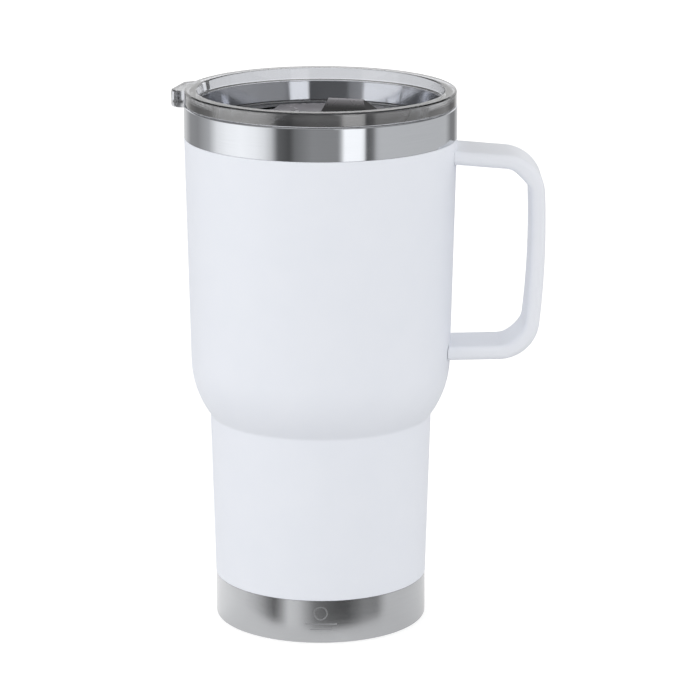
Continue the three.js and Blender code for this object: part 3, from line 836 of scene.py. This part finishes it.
def tones(holder, tree, direction, stops):
    """A colour that changes round the Z axis with stops in degrees, and its greatest strength."""
    parts = direction_parts(tree, direction)
    angle = maths(tree, "ARCTAN2", parts["X"], maths(tree, "MULTIPLY", parts["Y"], -1.0))
    turn = maths(tree, "MULTIPLY_ADD", angle, 1 / (2 * math.pi), 0.5)
    brightest = max(value for _, value in stops)
    spread = [((degrees + 180) / 360, value / brightest) for degrees, value in stops]
    return ramp(holder, turn, spread), brightest


def background(tree, colour, strength):
    shade = tree.nodes.new("ShaderNodeBackground")
    for socket, value in zip(shade.inputs, (colour, strength)):
        if isinstance(value, bpy.types.NodeSocket):
            tree.links.new(value, socket)
        else:
            socket.default_value = value
    return shade.outputs[0]


def either(tree, choice, first, second):
    """The first shader, or the second where the choice is 1."""
    mix = tree.nodes.new("ShaderNodeMixShader")
    for socket, output in zip(mix.inputs, (choice, first, second)):
        tree.links.new(output, socket)
    return mix.outputs[0]


def studio_world():
    """The room: white for the camera, a sky for matt surfaces, panels mirrored in bright ones.

    Clear parts show the backdrop straight through them.
    """
    world = bpy.data.worlds.new("studio")
    bpy.context.scene.world = world
    world.use_nodes = True
    tree = world.node_tree
    tree.nodes.clear()
    direction = tree.nodes.new("ShaderNodeTexCoord").outputs["Generated"]
    rays = tree.nodes.new("ShaderNodeLightPath").outputs
    height = direction_parts(tree, direction)["Z"]
    unreflected = maths(tree, "LESS_THAN", rays["Glossy Depth"], 0.5)
    through = maths(tree, "MULTIPLY", rays["Is Transmission Ray"], unreflected)
    sky_strength = maths(tree, "MULTIPLY_ADD", height, -SKY_FALL, SKY_LOW)
    white = (1.0, 1.0, 1.0, 1.0)
    low = background(tree, *tones(world, tree, direction, PANELS))
    high = background(tree, *tones(world, tree, direction, LID_PANELS))
    ceiling = background(tree, ramp(world, height, CEILING), 1.0)
    view = either(tree, maths(tree, "GREATER_THAN", height, 0.0), low, high)
    view = either(tree, maths(tree, "GREATER_THAN", height, PANEL_TOP), view, ceiling)
    view = either(tree, rays["Is Diffuse Ray"], view, background(tree, white, sky_strength))
    view = either(tree, through, view, background(tree, (*BACKDROP, 1.0), 1.0))
    view = either(tree, rays["Is Camera Ray"], view, background(tree, white, 1.0))
    out = tree.nodes.new("ShaderNodeOutputWorld")
    tree.links.new(view, out.inputs["Surface"])


def stage_mesh(name, points, faces, material):
    mesh = bpy.data.meshes.new(name)
    mesh.from_pydata(points, [], faces)
    mesh.materials.append(material)
    obj = bpy.data.objects.new(name, mesh)
    bpy.context.scene.collection.objects.link(obj)
    return obj


def studio_floor():
    """A white floor, unseen in the steel and through the lid."""
    mat = new_material("pale_floor", (FLOOR_ALBEDO,) * 3, 0.9, Emission_Color=(1, 1, 1, 1),
                       Specular_IOR_Level=0.0)
    tree = mat.node_tree
    rays = tree.nodes.new("ShaderNodeLightPath").outputs
    feed(mat, "Emission Strength",
         maths(tree, "MULTIPLY_ADD", rays["Is Camera Ray"], FLOOR_LIFT, FLOOR_GLOW))
    size, z = 9.0, -0.0002
    corners = [(-size, -size, z), (size, -size, z), (size, size, z), (-size, size, z)]
    floor = stage_mesh("floor", corners, [(0, 1, 2, 3)], mat)
    floor.visible_glossy = False
    floor.visible_transmission = False


def tone_material(name, stops):
    """Tones that change round the mug's axis, as a soft glow."""
    mat = bpy.data.materials.new(name)
    mat.use_nodes = True
    tree = mat.node_tree
    tree.nodes.clear()
    place = tree.nodes.new("ShaderNodeTexCoord").outputs["Object"]
    shade, brightest = tones(mat, tree, place, stops)
    glow = tree.nodes.new("ShaderNodeEmission")
    glow.inputs["Strength"].default_value = brightest
    tree.links.new(shade, glow.inputs["Color"])
    out = tree.nodes.new("ShaderNodeOutputMaterial")
    tree.links.new(glow.outputs[0], out.inputs["Surface"])
    return mat


def foot_reflections():
    """What only the bright foot sees: a white table round it, dimmer in front with a painted
    shadow, and a dim room beyond its edge.
    """
    count = 96
    angles = [2 * math.pi * k / count for k in range(count)]
    points = [
        (SCREEN_R * math.cos(a), SCREEN_R * math.sin(a), z)
        for z in (SCREEN_FOOT, SCREEN_TOP) for a in angles
    ]
    faces = [(k, (k + 1) % count, count + (k + 1) % count, count + k) for k in range(count)]
    screen = stage_mesh("foot_screen", points, faces, tone_material("screen_tones", SCREEN_TONES))
    edge = [(TABLE_R * math.cos(a), TABLE_BACK + TABLE_R * math.sin(a), -0.0001) for a in angles]
    table = stage_mesh("table_top", edge, [range(count)], tone_material("table_tones", TABLE_TONES))
    for obj in (screen, table):
        obj.visible_camera = False
        obj.visible_diffuse = False
        obj.visible_transmission = False
        obj.visible_shadow = False


def soft_light(name, place, aim, size, power):
    data = bpy.data.lights.new(name, "AREA")
    data.shape = "RECTANGLE"
    data.size, data.size_y = size
    data.energy = power
    obj = bpy.data.objects.new(name, data)
    bpy.context.scene.collection.objects.link(obj)
    obj.location = place
    obj.rotation_euler = (Vector(aim) - Vector(place)).to_track_quat("-Z", "Y").to_euler()
    obj.visible_glossy = False
    obj.visible_transmission = False


def camera():
    data = bpy.data.cameras.new("camera")
    data.lens, data.sensor_width, data.shift_x = LENS, SENSOR, SHIFT
    obj = bpy.data.objects.new("camera", data)
    bpy.context.scene.collection.objects.link(obj)
    obj.location = CAMERA_PLACE
    obj.rotation_euler = (math.radians(90 - LOOK_DOWN), 0, 0)
    bpy.context.scene.camera = obj


# ---- the scene -----------------------------------------------------------------------------------

bpy.context.scene.view_settings.view_transform = "Standard"

camera()
studio_world()
studio_floor()
foot_reflections()
soft_light("key", (-1.2, -0.45, 0.7), (0, 0, 0.1), (0.9, 0.9), 2.2)
soft_light("fill", (0.8, -1.1, 0.6), (0, 0, 0.1), (0.8, 0.8), 0.5)

coating = powder_coating()
white = moulded_plastic()
polished = polished_steel()
brushed = brushed_steel()
inner_steel = liner_steel("liner_steel", 0.08, 1.0)
liner_satin = liner_steel("liner_satin", 0.36, 0.8)
lid_clear = clear_plastic("clear_plastic", 0.025, 0.94)
lid_tab = clear_plastic("satin_plastic", 0.2, 0.8)
# Painted shade: the outer wall's tint is darker than the rest of the lid, so the front wall looks
# dark.
lid_wall_painted_shade = clear_plastic(
    "edge_plastic_painted_shade", 0.04, 0.66, Coat_Weight=1.0, Coat_IOR=2.3, Coat_Roughness=0.05,
)
wedge_span = (RIM_Z + DISC_TOP, RIM_Z + WEDGE_RIDGE)
smoke = smoke_plastic("smoke_plastic", 0.06, "Z", wedge_span, [(0, 0.1), (0.12, 0.04), (1, 0.05)])
# Painted shade: the push face's colour is lighter at the ridge and darkens towards the wedge's
# foot.
push_face_painted_shade = smoke_plastic("smoke_push_face_painted_shade", 0.24, "Z", wedge_span, [
    (0.65, 0.015), (0.75, 0.06), (0.85, 0.17), (0.94, 0.26), (1, 0.5),
])
# Painted shade: the disc's top darkens towards the push face side, so the lid's front wall looks
# dark through it.
disc_top_painted_shade = smoke_plastic("smoke_disc_top_painted_shade", 0.24, "Y", (-17, 3), [(0, 0.03), (0.5, 0.14), (1, 0.42)])
seal = silicone()
alloy = dull_alloy()

shell_bands(polished, brushed)
coat_sleeve(coating)
liner(inner_steel, liner_satin)
cover_plate(brushed)
handle_strap(white)
for side in ARMS:
    handle_screw(side, inner_steel)
lid(lid_clear, lid_tab, lid_wall_painted_shade)
make("lid_seal", gasket_mesh(), seal, "seal", ["lid_gasket"])
closure(smoke, push_face_painted_shade, disc_top_painted_shade)
make("closure_pad", pad_mesh(), seal, "closure", ["closure_seal"])
make("closure_pin", pin_mesh(), smoke, "closure", ["closure_pivot"])
make("pin_ring", o_ring_mesh(), seal, "closure", ["pivot_o_ring"])

CARRIED_OVER = {
    "vacuum_base": inner_steel, "getter_holder": inner_steel, "getter": alloy, "port_seal": alloy,
    "handle_bracket_upper": inner_steel, "handle_bracket_lower": inner_steel,
}
for name, material in CARRIED_OVER.items():
    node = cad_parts[name]
    node.data.materials.clear()
    node.data.materials.append(material)
